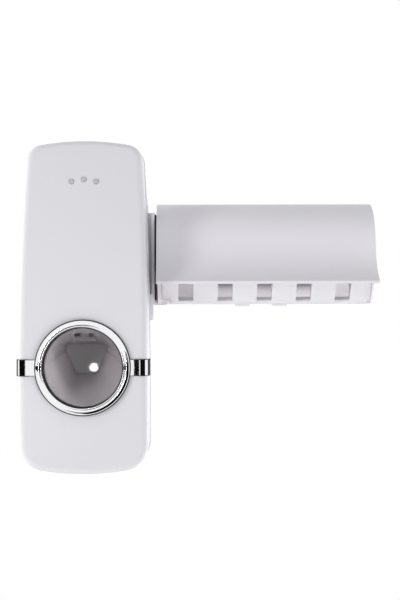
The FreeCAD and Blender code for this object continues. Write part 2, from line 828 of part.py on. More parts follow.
def make_outlet_duct():
    """Tube from the valve block forwards, then down to the nozzle."""
    start = inlet_y - block_front_beyond_inlet
    outer = outlet_bore_radius + outlet_wall
    corner = point(0, pivot_y, outlet_z)
    foot = point(0, pivot_y, outlet_z - elbow_drop)
    tube = rod(outer, point(0, start, outlet_z), corner)
    knuckle = Part.makeSphere(outer, corner)
    leg = rod(outer, corner, foot)
    bore = rod(outlet_bore_radius, point(0, start + cut_overrun, outlet_z), corner)
    turn = Part.makeSphere(outlet_bore_radius, corner)
    drop = rod(outlet_bore_radius, corner, point(0, pivot_y, foot.z - cut_overrun))
    return tube.fuse([knuckle, leg]).cut(bore.fuse([turn, drop])).removeSplitter()


def make_nozzle_tip():
    top = point(0, pivot_y, outlet_z - elbow_drop)
    down = point(0, 0, -1)
    cone = Part.makeCone(nozzle_root_radius, nozzle_tip_radius, nozzle_length, top, down)
    bore = rod(nozzle_bore_radius, point(0, pivot_y, top.z + cut_overrun),
               point(0, pivot_y, top.z - nozzle_length - cut_overrun))
    return cone.cut(bore)


def make_riser_duct():
    """Short tube between the valve block and the top of the pump cylinder."""
    top = deck_z - block_height
    outer = riser_bore_radius + riser_wall
    tube = rod(outer, point(0, -riser_from_wall, top), point(0, -riser_from_wall, pump_z))
    bore = rod(riser_bore_radius, point(0, -riser_from_wall, top + cut_overrun),
               point(0, -riser_from_wall, pump_z))
    body = rod(pump_outer_radius, point(0, 0, pump_z), point(0, pump_front_y, pump_z))
    return tube.cut(bore).cut(body).Solids[0]


def make_pump_cylinder():
    back_y = -pump_end_from_wall
    barrel = rod(pump_outer_radius, point(0, back_y, pump_z), point(0, pump_front_y, pump_z))
    flange = rod(pump_flange_radius, point(0, frame_back_y + pump_flange_thickness, pump_z),
                 point(0, frame_back_y, pump_z))
    bore = rod(pump_bore_radius, point(0, back_y - pump_wall, pump_z),
               point(0, pump_front_y - cut_overrun, pump_z))
    port = rod(riser_bore_radius, point(0, -riser_from_wall, pump_z),
               point(0, -riser_from_wall, pump_z + pump_flange_radius))
    passage_half = riser_bore_radius + riser_wall + seat_gap
    passage = box((-passage_half, passage_half), (0, frame_back_y - cut_overrun),
                  (pump_z, pump_z + pump_flange_radius + cut_overrun))
    return barrel.fuse(flange.cut(passage)).cut(bore).cut(port)


def piston_groove():
    """Where the seal sits in the piston head, as a Y range."""
    front = pump_front_y + piston_rest_inset
    middle = front + piston_head_length / 2
    return middle - seal_width / 2, middle + seal_width / 2


def make_piston():
    """Piston head in the cylinder and the rod that the carrier pushes."""
    front = pump_front_y + piston_rest_inset
    head_radius = pump_bore_radius - piston_radial_gap
    tip_y = carrier_back_y + slide_gap
    head = rod(head_radius, point(0, front + piston_head_length, pump_z), point(0, front, pump_z))
    stem = rod(piston_rod_radius, point(0, front, pump_z), point(0, tip_y, pump_z))
    tip = min(stem.Faces, key=lambda face: face.CenterOfMass.y)
    stem = stem.makeFillet(piston_rod_radius * rod_tip_share, tip.Edges)
    low, high = piston_groove()
    groove = rod(head_radius + cut_overrun, point(0, low, pump_z), point(0, high, pump_z))
    core = rod(pump_bore_radius - seal_depth - piston_radial_gap, point(0, low, pump_z),
               point(0, high, pump_z))
    return head.fuse(stem).cut(groove.cut(core)).removeSplitter()


def make_piston_seal():
    low, high = piston_groove()
    outer = rod(pump_bore_radius - pin_gap, point(0, low, pump_z), point(0, high, pump_z))
    inner = rod(pump_bore_radius - seal_depth - piston_radial_gap, point(0, low, pump_z),
                point(0, high, pump_z))
    return outer.cut(inner)


def arc_from(start, heading, end):
    """Arc that leaves one point along a heading and reaches another."""
    chord = end.sub(start)
    aside = heading.sub(chord * (heading.dot(chord) / chord.dot(chord)))
    rise = chord.Length / 2 * math.tan(heading.getAngle(chord) / 2)
    middle = (start + end) * 0.5 + aside * (rise / aside.Length)
    return Part.Arc(start, middle, end).toShape()


def biarc(start, first_heading, end, last_heading):
    """Two arcs that join two points with the given headings."""
    span = end.sub(start)
    bend = 2 * (1 - first_heading.dot(last_heading))
    ahead = span.dot(first_heading + last_heading)
    reach = (math.sqrt(ahead ** 2 + bend * span.dot(span)) - ahead) / bend
    before, after = start + first_heading * reach, end - last_heading * reach
    middle = (before + after) * 0.5
    return [arc_from(start, first_heading, middle), arc_from(middle, after - before, end)]


def make_return_spring():
    """Coil round the pump, between the frame and the carrier."""
    start_y = frame_front_y - spring_wire_radius
    end_y = carrier_back_y + spring_wire_radius
    length = start_y - end_y
    quarters = round(spring_turns * 4)
    lead = length / quarters
    slope = lead / (spring_coil_radius * math.pi / 2)
    edges, last = [], None
    for i in range(quarters + 1):
        turn = i * math.pi / 2
        across, up = math.cos(turn), math.sin(turn)
        place = point(spring_coil_radius * across, start_y - lead * i,
                      pump_z + spring_coil_radius * up)
        heading = point(-up, -slope, across) * (1 / math.hypot(1, slope))
        if last:
            edges += biarc(last[0], last[1], place, heading)
        last = place, heading
    start = edges[0].firstVertex(True).Point
    ring = Part.makeCircle(spring_wire_radius, start, point(0, -slope, 1))
    return Part.Wire(edges).makePipeShell([Part.Wire(ring)], True, False)


# The push cup


def rounded_loop(y, corners, radius):
    """Upright loop round four corners (x, z), each of them rounded, at one Y."""
    places = [point(x, y, z) for x, z in corners]
    edges, stops = [], []
    for i, here in enumerate(places):
        before = places[i - 1].sub(here).normalize()
        after = places[(i + 1) % len(places)].sub(here).normalize()
        half_angle = before.getAngle(after) / 2
        inwards = (before + after).normalize()
        reach = radius / math.tan(half_angle)
        middle = here + inwards * (radius / math.sin(half_angle) - radius)
        stops += [here + before * reach, here + after * reach]
        edges.append(Part.Arc(stops[-2], middle, stops[-1]).toShape())
        if i > 0:
            edges.insert(-1, Part.LineSegment(stops[-3], stops[-2]).toShape())
    edges.append(Part.LineSegment(stops[-1], stops[0]).toShape())
    return Part.Wire(edges)


def cup_shape(inset, front_reach, back_inset):
    """Tapered cup from its round mouth to its flat back, moved in by inset."""
    mouth = cup_mouth_radius - inset
    front = [(side * mouth, ring_z + end * mouth)
             for side, end in ((1, 1), (-1, 1), (-1, -1), (1, -1))]
    wide, narrow = cup_back_top_half_width - inset, cup_back_bottom_half_width - inset
    top, bottom = cup_back_top - inset, cup_back_bottom + inset
    back = [(wide, top), (-wide, top), (-narrow, bottom), (narrow, bottom)]
    body = Part.makeLoft([rounded_loop(rim_y, front, mouth - seat_gap),
                          rounded_loop(cup_back_y - back_inset, back, cup_back_corner)], True, True)
    if front_reach > 0:
        lead = rod(mouth - seat_gap, point(0, rim_y - front_reach, ring_z),
                   point(0, rim_y, ring_z))
        body = body.fuse(lead)
    return body


def make_push_cup():
    """Smoked cup with a flat rim, and a slot in its top for the nozzle."""
    rim = rod(rim_radius, point(0, rim_y, ring_z), point(0, rim_y + rim_thickness, ring_z))
    cup = cup_shape(0, 0, 0).fuse(rim).cut(cup_shape(cup_wall, cut_overrun, cup_wall))
    roof = box((-nozzle_slot_half_width, nozzle_slot_half_width),
               (pivot_y - nozzle_slot_half_length, pivot_y + nozzle_slot_half_length),
               (cup_back_top - cup_wall * 2, pivot_z))
    return cup.cut(roof).removeSplitter()


def make_cup_carrier():
    """Lever plate behind the cup, its arms up to the pivot, and three clips."""
    plate_top = cup_back_top + carrier_above_cup
    plate = box((-carrier_half_width, carrier_half_width), (cup_back_y, carrier_back_y),
                (cup_back_bottom - carrier_below_cup, plate_top))
    arm_outer = carrier_half_width + carrier_arm_thickness
    shape = [point(0, carrier_back_y, ring_z - pivot_lug_radius),
             point(0, carrier_back_y, plate_top),
             point(0, pivot_y + pivot_lug_radius, pivot_z),
             point(0, pivot_y, pivot_z),
             point(0, pivot_y, pivot_z - pivot_lug_radius),
             point(0, cup_back_y, ring_z - pivot_lug_radius),
             point(0, carrier_back_y, ring_z - pivot_lug_radius)]
    web = along_x(Part.Face(Part.makePolygon(shape)), carrier_half_width, arm_outer)
    lug = rod(pivot_lug_radius, point(carrier_half_width, pivot_y, pivot_z),
              point(arm_outer, pivot_y, pivot_z))
    carrier = plate.fuse(both_sides(web) + both_sides(lug))
    cup = cup_shape(0, 0, 0)
    front = cup_back_y - clip_length
    side_z = (cup_back_top + cup_back_bottom) / 2 + clip_half_width / 2
    side_clip = box((cup_back_bottom_half_width, cup_back_top_half_width + clip_thickness / 2),
                    (front, cup_back_y), (side_z - clip_half_width, side_z + clip_half_width))
    top_clip = box((-clip_half_width, clip_half_width), (front, cup_back_y),
                   (cup_back_top - seat_gap, cup_back_top + clip_thickness))
    clips = [clip.cut(cup) for clip in both_sides(side_clip) + [top_clip]]
    holes = rod(pivot_pin_radius + pin_gap, point(-arm_outer - cut_overrun, pivot_y, pivot_z),
                point(arm_outer + cut_overrun, pivot_y, pivot_z))
    return carrier.fuse(clips).cut(holes).removeSplitter()


def make_cup_pivot_pins():
    inner = carrier_half_width - seat_gap
    pin = rod(pivot_pin_radius, point(inner, pivot_y, pivot_z),
              point(deck_half_width, pivot_y, pivot_z))
    return Part.makeCompound(both_sides(pin))


# Wall plates


def tee_plate(centre_x, half_width, lip, bottom, top):
    """Wall plate: a neck on the pad and a wider head in front of it."""
    neck = box((centre_x - half_width, centre_x + half_width), (-pad_thickness, plate_face_y),
               (bottom, top))
    head = box((centre_x - half_width - lip, centre_x + half_width + lip),
               (plate_face_y, plate_front_y), (bottom, top))
    return neck.fuse(head).removeSplitter()


def pad(centre_x, half_width, bottom, top):
    sheet = box((centre_x - half_width, centre_x + half_width), (0, -pad_thickness), (bottom, top))
    upright = [edge for edge in sheet.Edges if runs_along_y(edge)]
    return sheet.makeFillet(pad_corner_radius, upright)


# The brush holder


def lid_moves():
    return [(lid_flat, 0, 0), (0, lid_round_radius, lid_round_angle), (lid_straight, 0, 0),
            (0, lid_flare_radius, -lid_flare_angle)]


def lid_start():
    return -lid_back_from_wall, lid_top


def make_holder_lid():
    """Curved sheet with a flared lip, and a lug with a stub near each end."""
    sheet = along_x(ribbon(lid_start(), 180, lid_moves(), 0, lid_wall), lid_left, lid_right)
    lip = min(sheet.Faces, key=lambda face: face.CenterOfMass.y)
    sheet = sheet.makeFillet(lid_lip_round, lip.Edges)
    lugs = []
    left = case_left + case_wall + lid_end_play
    for inner_edge, side in ((left, 1), (case_left + case_right - left, -1)):
        far = inner_edge + side * lid_lug_thickness
        barrel = rod(lid_lug_radius, point(inner_edge, hinge_y, hinge_z),
                     point(far, hinge_y, hinge_z))
        web = box((inner_edge, far), (hinge_y - lid_lug_radius, hinge_y + lid_lug_radius * lid_web_back_share),
                  (hinge_z, lid_top - lid_wall / 2))
        stub = rod(lid_stub_radius, point(inner_edge - side * (lid_end_play + case_wall),
                                          hinge_y, hinge_z), point(inner_edge, hinge_y, hinge_z))
        lugs += [barrel, web, stub]
    return sheet.fuse(lugs).removeSplitter()


def front_moves():
    return [(case_front_drop, 0, 0), (0, case_bend_radius, case_slope_angle),
            (case_slant - case_bend_radius, 0, 0), (0, case_round_radius, case_slope_angle)]


def front_start():
    return -case_front_from_wall, case_front_top


def case_bottom():
    """Y where the rounded front meets the flat bottom, and the bottom's height."""
    last = ends(trace(front_start(), 270, front_moves(), 0))[1]
    return last.y, last.z


def end_profile():
    """End wall: under the lid's sheet, behind the slanted front."""
    floor_y, floor_z = case_bottom()
    back_y = -case_back_gap
    roof = trace(lid_start(), 180, lid_moves(), lid_wall + lid_case_gap)
    first, last = ends(roof)
    under_lid = close(roof, [point(0, last.y, floor_z - cut_overrun),
                             point(0, back_y, floor_z - cut_overrun), point(0, back_y, first.z)])
    rise = lid_top - case_front_top
    front = trace(front_start(), 270, front_moves(), 0)
    behind_front = close(front, [point(0, back_y, floor_z), point(0, back_y, case_front_top + rise),
                                 point(0, -case_front_from_wall, case_front_top + rise)])
    return under_lid.common(behind_front)


def end_wall(left, right):
    wall = along_x(end_profile().Faces[0], left, right)
    reach = hinge_clearance_radius
    ring = rod(reach, point(left - cut_overrun, hinge_y, hinge_z),
               point(right + cut_overrun, hinge_y, hinge_z))
    boss = rod(lid_lug_radius, point(left - cut_overrun, hinge_y, hinge_z),
               point(right + cut_overrun, hinge_y, hinge_z))
    behind = box((left - cut_overrun, right + cut_overrun), (hinge_y, hinge_y + reach),
                 (hinge_z - reach, hinge_z + reach))
    eye = rod(lid_lug_radius, point(left, hinge_y, hinge_z), point(right, hinge_y, hinge_z))
    hole = rod(lid_stub_radius + pin_gap, point(left - cut_overrun, hinge_y, hinge_z),
               point(right + cut_overrun, hinge_y, hinge_z))
    return wall.cut(ring.cut(boss).common(behind)).fuse(eye).cut(hole)


def holder_channel_half():
    return holder_plate_half_width + plate_lip + slide_gap


def make_holder_case():
    """Back, bottom and two end walls, with the wall channel and the bracket's groove."""
    floor_y, floor_z = case_bottom()
    back_y = -case_back_gap
    top = holder_plate_top + slide_gap
    half = holder_channel_half()
    back = box((case_left, case_right), (back_y, back_y - case_wall), (floor_z, case_back_top))
    bottom = box((case_left, case_right), (back_y, floor_y + seat_gap),
                 (floor_z, floor_z + case_wall))
    pod = box((case_middle - half - case_wall, case_middle + half + case_wall),
              (back_y, channel_wall_y), (floor_z, top + case_wall))
    groove_half = slot_mouth_half + slot_lip
    groove_left = case_left + case_wall
    groove_right = groove_left + bracket_hook_thickness + slide_gap * 2
    groove_top = bracket_hook_top + slide_gap
    groove_pod = box((case_left, groove_right + case_wall),
                     (slot_y - groove_half - case_wall, slot_y + groove_half + case_wall),
                     (floor_z, groove_top + case_wall))
    under_lid = along_x(end_profile().Faces[0], case_left, groove_right + case_wall)
    groove_pod = groove_pod.common(under_lid)
    walls = [end_wall(case_left, case_left + case_wall), end_wall(case_right - case_wall, case_right)]
    case = back.fuse([bottom, pod, groove_pod] + walls)
    lip_y = back_y - channel_lip_thickness
    lip_bottom = holder_plate_top - holder_lip_height
    low = floor_z - cut_overrun
    mouth_half = holder_plate_half_width + slide_gap
    head = box((case_middle - half, case_middle + half), (lip_y, channel_floor_y), (low, top))
    mouth = box((case_middle - mouth_half, case_middle + mouth_half), (0, lip_y), (low, top))
    entry = box((case_middle - half, case_middle + half), (0, lip_y), (low, lip_bottom))
    groove = box((groove_left, groove_right), (slot_y - groove_half, slot_y + groove_half),
                 (low, groove_top))
    groove_mouth = box((case_left - cut_overrun, groove_left),
                       (slot_y - slot_mouth_half, slot_y + slot_mouth_half), (low, groove_top))
    for cut in (head, mouth, entry, groove, groove_mouth):
        case = case.cut(cut)
    for cut in comb_tabs(seat_gap) + drains():
        case = case.cut(cut)
    return case.removeSplitter()


def drains():
    floor_y, floor_z = case_bottom()
    depth = (floor_y + comb_ledge_depth + drain_behind_ledge, channel_wall_y - drain_before_channel)
    return [box((middle - drain_half_length, middle + drain_half_length), depth,
                (floor_z - cut_overrun, floor_z + case_wall + cut_overrun))
            for middle in brush_slots()]


def comb_tabs(gap):
    """Two tabs of the comb that pass down through the bottom of the case."""
    floor_y, floor_z = case_bottom()
    front = floor_y + comb_tab_inset
    tabs = []
    for i in range(2):
        middle = lid_left + comb_tab_from_lid_left + i * comb_tab_spacing
        tabs.append(box((middle - comb_tab_width / 2 - gap, middle + comb_tab_width / 2 + gap),
                        (front - gap, front + comb_tab_thickness + gap),
                        (floor_z - comb_tab_drop, floor_z + case_wall + comb_ledge_thickness / 2)))
    return tabs


def brush_slots():
    """Centre of each brush slot."""
    first = lid_left + first_slot_from_lid_left
    return [first + i * brush_slot_pitch for i in range(slot_count)]


def make_brush_comb():
    """Slanted front between the end walls, with five slots and a guide beside each."""
    floor_y, floor_z = case_bottom()
    left, right = case_left + case_wall + seat_gap, case_right - case_wall - seat_gap
    panel = along_x(ribbon(front_start(), 270, front_moves(), 0, case_wall), left, right)
    ledge_z = floor_z + case_wall
    pod_right = case_left + case_wall * 2 + bracket_hook_thickness + slide_gap * 2 + seat_gap
    ledge = box((left, right), (floor_y - case_wall, floor_y + comb_ledge_depth),
                (ledge_z, ledge_z + comb_ledge_thickness))
    inner = trace(front_start(), 270, front_moves(), case_wall - seat_gap)
    core = close(inner, [point(0, floor_y, ends(inner)[0].z)])
    guides = []
    for middle in brush_slots():
        for side in (-1, 1):
            near = middle + side * brush_slot_width / 2
            guide = along_x(core, near, near + side * guide_thickness)
            keep = box((near, near + side * guide_thickness),
                       (-case_front_from_wall, guide_depth - case_front_from_wall),
                       (ledge_z, guide_top))
            guides.append(guide.common(keep))
    comb = panel.fuse([ledge] + guides + comb_tabs(0))
    for middle in brush_slots():
        gate = box((middle - brush_slot_width / 2, middle + brush_slot_width / 2),
                   (-case_front_from_wall - cut_overrun, guide_depth - case_front_from_wall),
                   (floor_z + brush_slot_above_bottom, case_front_top + cut_overrun))
        comb = comb.cut(gate)
    pod_front = slot_y - slot_mouth_half - slot_lip - case_wall
    pod = box((case_left, pod_right), (pod_front - seat_gap, 0), (floor_z - cut_overrun, guide_top))
    return comb.cut(pod).removeSplitter()


# Every piece, written to its own file

pieces = {
    "dispenser_adhesive_pad": pad(0, plate_half_width, -plate_half_height, plate_half_height),
    "dispenser_wall_plate": tee_plate(0, plate_half_width, plate_lip, -plate_half_height,
                                      plate_half_height),
    "holder_adhesive_pad": pad(case_middle, holder_plate_half_width, holder_plate_bottom,
                               holder_plate_top),
    "holder_wall_plate": tee_plate(case_middle, holder_plate_half_width, plate_lip,
                                   holder_plate_bottom, holder_plate_top),
    "rear_housing": make_rear_housing(),
    "side_bracket": make_side_bracket(),
    "pump_chassis": make_pump_chassis(),
    "chassis_screws": make_chassis_screws(),
    "inlet_collar": make_inlet_collar(),
    "valve_block": make_valve_block(),
    "inlet_valve": make_inlet_valve(),
    "outlet_valve": make_outlet_valve(),
    "outlet_duct": make_outlet_duct(),
    "nozzle_tip": make_nozzle_tip(),
    "riser_duct": make_riser_duct(),
    "pump_cylinder": make_pump_cylinder(),
    "cup_pivot_pins": make_cup_pivot_pins(),
    "return_spring": make_return_spring(),
    "front_cover": make_front_cover(),
    "chrome_ring": make_chrome_ring(),
    "cover_pips": make_cover_pips(),
    "push_cup": make_push_cup(),
    "cup_carrier": make_cup_carrier(),
    "piston": make_piston(),
    "piston_seal": make_piston_seal(),
    "holder_case": make_holder_case(),
    "brush_comb": make_brush_comb(),
    "holder_lid": make_holder_lid(),
}
for name, shape in pieces.items():
    save(name, shape)
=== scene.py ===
import bpy
import bmesh
import json
import math
from mathutils import Matrix, Vector

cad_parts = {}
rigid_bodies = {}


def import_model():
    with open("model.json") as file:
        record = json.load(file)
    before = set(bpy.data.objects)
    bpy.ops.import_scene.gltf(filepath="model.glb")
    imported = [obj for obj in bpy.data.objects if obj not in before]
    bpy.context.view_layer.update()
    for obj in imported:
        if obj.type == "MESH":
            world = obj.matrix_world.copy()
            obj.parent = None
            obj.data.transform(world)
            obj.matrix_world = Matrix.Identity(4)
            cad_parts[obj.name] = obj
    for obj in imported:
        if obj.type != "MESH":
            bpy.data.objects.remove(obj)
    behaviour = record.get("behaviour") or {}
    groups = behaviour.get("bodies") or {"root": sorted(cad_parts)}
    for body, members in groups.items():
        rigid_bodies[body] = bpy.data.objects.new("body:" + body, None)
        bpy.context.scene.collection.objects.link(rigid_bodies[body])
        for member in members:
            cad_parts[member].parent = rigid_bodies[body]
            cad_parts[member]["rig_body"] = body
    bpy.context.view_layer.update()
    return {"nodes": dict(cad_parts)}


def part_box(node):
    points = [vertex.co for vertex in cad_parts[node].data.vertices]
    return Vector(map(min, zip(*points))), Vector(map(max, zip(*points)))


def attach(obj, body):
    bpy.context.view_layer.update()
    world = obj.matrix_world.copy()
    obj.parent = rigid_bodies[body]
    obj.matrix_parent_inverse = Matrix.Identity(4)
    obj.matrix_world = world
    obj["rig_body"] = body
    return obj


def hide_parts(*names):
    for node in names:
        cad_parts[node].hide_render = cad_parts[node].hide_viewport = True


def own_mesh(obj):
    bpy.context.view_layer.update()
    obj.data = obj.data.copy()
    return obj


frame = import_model()
scene = bpy.context.scene


# Mounting pads
# Two double-sided foam pads hold the plates to the wall. They are die-cut from grey
# closed-cell foam, so their faces are finely pitted and their colour is a little uneven.


def build_surface_grain():
    """Node group with a fine grain for the relief and a soft cloud for colour and roughness."""
    group = bpy.data.node_groups.new("Surface grain", "ShaderNodeTree")
    colour_kind, number_kind = "NodeSocketColor", "NodeSocketFloat"
    for label, kind in (("Colour", colour_kind), ("Cloud colour", colour_kind),
                        ("Roughness", number_kind), ("Roughness spread", number_kind),
                        ("Grain per metre", number_kind), ("Clouds per metre", number_kind)):
        group.interface.new_socket(label, in_out="INPUT", socket_type=kind)
    for label, kind in (("Colour", colour_kind), ("Roughness", number_kind), ("Height", number_kind)):
        group.interface.new_socket(label, in_out="OUTPUT", socket_type=kind)
    nodes, links = group.nodes, group.links
    given = nodes.new("NodeGroupInput").outputs
    made = nodes.new("NodeGroupOutput").inputs
    place = nodes.new("ShaderNodeTexCoord").outputs["Object"]

    grain = nodes.new("ShaderNodeTexNoise")
    grain.inputs["Detail"].default_value = 3
    links.new(place, grain.inputs["Vector"])
    links.new(given["Grain per metre"], grain.inputs["Scale"])
    links.new(grain.outputs["Fac"], made["Height"])

    cloud = nodes.new("ShaderNodeTexNoise")
    cloud.inputs["Detail"].default_value = 4
    links.new(place, cloud.inputs["Vector"])
    links.new(given["Clouds per metre"], cloud.inputs["Scale"])
    tint = nodes.new("ShaderNodeMix")
    tint.data_type = "RGBA"
    links.new(cloud.outputs["Fac"], tint.inputs["Factor"])
    links.new(given["Colour"], tint.inputs["A"])
    links.new(given["Cloud colour"], tint.inputs["B"])
    links.new(tint.outputs["Result"], made["Colour"])

    middle_of_noise = 0.5
    centred = nodes.new("ShaderNodeMath")
    centred.operation = "SUBTRACT"
    links.new(cloud.outputs["Fac"], centred.inputs[0])
    centred.inputs[1].default_value = middle_of_noise
    spread = nodes.new("ShaderNodeMath")
    spread.operation = "MULTIPLY_ADD"
    links.new(centred.outputs[0], spread.inputs[0])
    links.new(given["Roughness spread"], spread.inputs[1])
    links.new(given["Roughness"], spread.inputs[2])
    links.new(spread.outputs[0], made["Roughness"])
    return group


surface_grain = build_surface_grain()


def shader_of(material):
    """The Principled shader of a material."""
    return material.node_tree.nodes["Principled BSDF"]


def new_material(name):
    """Material with nothing but its Principled shader."""
    material = bpy.data.materials.new(name)
    material.use_nodes = True
    return material


def grained(name, colour, cloud_colour, roughness, roughness_spread, grain_per_metre,
            clouds_per_metre, grain_depth, specular=0.5, metallic=0.0):
    """Material of one finely grained finish; the depth of its grain is in metres."""
    material = new_material(name)
    tree, shader = material.node_tree, shader_of(material)
    texture = tree.nodes.new("ShaderNodeGroup")
    texture.node_tree = surface_grain
    opaque = 1
    texture.inputs["Colour"].default_value = (*colour, opaque)
    texture.inputs["Cloud colour"].default_value = (*cloud_colour, opaque)
    texture.inputs["Roughness"].default_value = roughness
    texture.inputs["Roughness spread"].default_value = roughness_spread
    texture.inputs["Grain per metre"].default_value = grain_per_metre
    texture.inputs["Clouds per metre"].default_value = clouds_per_metre
    relief = tree.nodes.new("ShaderNodeBump")
    relief.inputs["Distance"].default_value = grain_depth
    tree.links.new(texture.outputs["Colour"], shader.inputs["Base Color"])
    tree.links.new(texture.outputs["Roughness"], shader.inputs["Roughness"])
    tree.links.new(texture.outputs["Height"], relief.inputs["Height"])
    tree.links.new(relief.outputs["Normal"], shader.inputs["Normal"])
    shader.inputs["Specular IOR Level"].default_value = specular
    shader.inputs["Metallic"].default_value = metallic
    return material


def merged(mesh):
    """Bmesh of a node's mesh with its loose triangles joined along their edges."""
    same_place = 1e-6
    shape = bmesh.new()
    shape.from_mesh(mesh)
    bmesh.ops.remove_doubles(shape, verts=shape.verts, dist=same_place)
    return shape


def dressed(node, material):
    """Merged and smoothly shaded copy of a CAD node, in its place."""
    shortest_edge = 1e-6
    sharp_edge = math.radians(28)
    source = frame["nodes"][node]
    mesh = source.data.copy()
    shape = merged(mesh)
    bmesh.ops.dissolve_degenerate(shape, edges=shape.edges, dist=shortest_edge)
    for face in shape.faces:
        face.smooth = True
    for edge in shape.edges:
        edge.smooth = edge.calc_face_angle(math.pi) < sharp_edge
    shape.to_mesh(mesh)
    shape.free()
    mesh.materials.clear()
    mesh.materials.append(material)
    piece = bpy.data.objects.new(node + "_finished", mesh)
    scene.collection.objects.link(piece)
    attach(piece, source["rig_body"])
    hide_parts(node)
    return piece


foam = grained("Grey foam", colour=(0.42, 0.42, 0.44), cloud_colour=(0.36, 0.36, 0.38),
               roughness=0.9, roughness_spread=0.1, grain_per_metre=1800, clouds_per_metre=90,
               grain_depth=0.0002, specular=0.2)
for pad in ("dispenser_adhesive_pad", "holder_adhesive_pad"):
    dressed(pad, foam)


# Wall plates
# Each plate is a moulding with a narrow neck and a wider head that the dispenser or the
# holder slides down over. They are the same satin white plastic as the brush comb.


def let_light_in(material):
    """Thin white walls glow a little, because light goes about a centimetre into them."""
    shader = shader_of(material)
    shader.inputs["Subsurface Weight"].default_value = 0.65
    shader.inputs["Subsurface Radius"].default_value = (1, 1, 1)
    shader.inputs["Subsurface Scale"].default_value = 0.010


satin_white = grained("Satin white plastic", colour=(0.945, 0.92, 0.985),
                      cloud_colour=(0.935, 0.91, 0.975), roughness=0.42, roughness_spread=0.1,
                      grain_per_metre=2600, clouds_per_metre=35, grain_depth=0.00002)
let_light_in(satin_white)
for plate in ("dispenser_wall_plate", "holder_wall_plate"):
    dressed(plate, satin_white)


# Rear housing and side bracket
# The back shell carries the wall channel and the two side slots; a moulded bracket sits
# in the right slot, and a thin black strip on its face towards the holder is painted shade for the gap
# there.


def added(name, shape, material, body):
    """Small piece of its own that rides on a body."""
    mesh = bpy.data.meshes.new(name)
    for face in shape.faces:
        face.smooth = True
    shape.to_mesh(mesh)
    shape.free()
    mesh.materials.append(material)
    piece = bpy.data.objects.new(name, mesh)
    scene.collection.objects.link(piece)
    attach(piece, body)
    return piece


housing_white = grained("Housing white plastic", colour=(0.80, 0.795, 0.83),
                        cloud_colour=(0.785, 0.78, 0.815), roughness=0.36, roughness_spread=0.1,
                        grain_per_metre=2200, clouds_per_metre=30, grain_depth=0.000015)
dressed("rear_housing", housing_white)
dressed("side_bracket", housing_white)

# Black sheet that is painted shade: it fills the dark gaps at the bracket and round the chrome ring.
painted_shade_black = grained("Black painted shade", colour=(0.02, 0.02, 0.022), cloud_colour=(0.03, 0.03, 0.032),
                     roughness=0.6, roughness_spread=0.1, grain_per_metre=2500, clouds_per_metre=120,
                     grain_depth=0.00001, specular=0.3)
# Thin black strip between bracket and lid: painted shade for the dark gap between them.
strip_thickness = 0.0007
strip_to_lid = 0.00015
strip_above_foot = 0.010
strip_below_top = 0.001
strip_rounding = 0.00015
bracket_low, bracket_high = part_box("side_bracket")
lid_low, lid_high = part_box("holder_lid")
strip_low = Vector((lid_low.x - strip_to_lid - strip_thickness, bracket_low.y,
                    bracket_low.z + strip_above_foot))
strip_high = Vector((lid_low.x - strip_to_lid, bracket_high.y, bracket_high.z - strip_below_top))
shape = bmesh.new()
bmesh.ops.create_cube(shape, size=1)
bmesh.ops.scale(shape, verts=shape.verts, vec=strip_high - strip_low)
bmesh.ops.translate(shape, verts=shape.verts, vec=(strip_low + strip_high) / 2)
bmesh.ops.bevel(shape, geom=shape.edges, offset=strip_rounding, affect="EDGES", segments=2,
                profile=0.5, material=-1)
added("bracket_shade_strip", shape, painted_shade_black, "dispenser")


# Pump frame and pump
# The parts behind the cover are plain mouldings in natural white plastic, with rubber
# valves, a rubber collar for the tube and steel screws, pins and spring.
inner_white = grained("Natural white plastic", colour=(0.74, 0.73, 0.70), cloud_colour=(0.70, 0.69, 0.66),
                      roughness=0.5, roughness_spread=0.12, grain_per_metre=1500, clouds_per_metre=45,
                      grain_depth=0.00003)
for part in ("pump_chassis", "valve_block", "outlet_duct", "riser_duct", "pump_cylinder",
             "cup_carrier", "piston"):
    dressed(part, inner_white)
rubber = grained("Grey rubber", colour=(0.10, 0.10, 0.11), cloud_colour=(0.13, 0.13, 0.14),
                 roughness=0.75, roughness_spread=0.15, grain_per_metre=2500, clouds_per_metre=120,
                 grain_depth=0.00003)
for part in ("inlet_collar", "inlet_valve", "outlet_valve", "piston_seal"):
    dressed(part, rubber)
silicone = grained("Grey silicone", colour=(0.34, 0.33, 0.34), cloud_colour=(0.30, 0.29, 0.30),
                   roughness=0.55, roughness_spread=0.12, grain_per_metre=2200, clouds_per_metre=150,
                   grain_depth=0.00002)
dressed("nozzle_tip", silicone)
steel = grained("Zinc-plated steel", colour=(0.62, 0.63, 0.65), cloud_colour=(0.55, 0.56, 0.58),
                roughness=0.3, roughness_spread=0.15, grain_per_metre=3000, clouds_per_metre=200,
                grain_depth=0.00001, metallic=1.0)
for part in ("chassis_screws", "cup_pivot_pins"):
    dressed(part, steel)
spring = dressed("return_spring", steel)
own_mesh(spring)


# Front cover and its pips
# The cover is a glossy injection-moulded shell; three small pips are set into its top.
cover_white = grained("Glossy white plastic", colour=(0.76, 0.755, 0.795),
                      cloud_colour=(0.75, 0.745, 0.785), roughness=0.24, roughness_spread=0.06,
                      grain_per_metre=1500, clouds_per_metre=20, grain_depth=0.000006)
dressed("front_cover", cover_white)
pip_grey = grained("Satin grey ink", colour=(0.54, 0.53, 0.57), cloud_colour=(0.51, 0.50, 0.54),
                   roughness=0.4, roughness_spread=0.1, grain_per_metre=2000, clouds_per_metre=100,
                   grain_depth=0.00001)
dressed("cover_pips", pip_grey)


# Chrome ring
# The ring and its two arms are one plated moulding that clips round the window. A fine bead
# is turned round its inner edge, and a thin black ring under it is painted shade that shows as a dark
# outline.
chrome = grained("Chrome plating", colour=(0.90, 0.90, 0.915), cloud_colour=(0.88, 0.88, 0.895),
                 roughness=0.03, roughness_spread=0.02, grain_per_metre=900, clouds_per_metre=40,
                 grain_depth=0.000001, metallic=1.0)
dressed("chrome_ring", chrome)

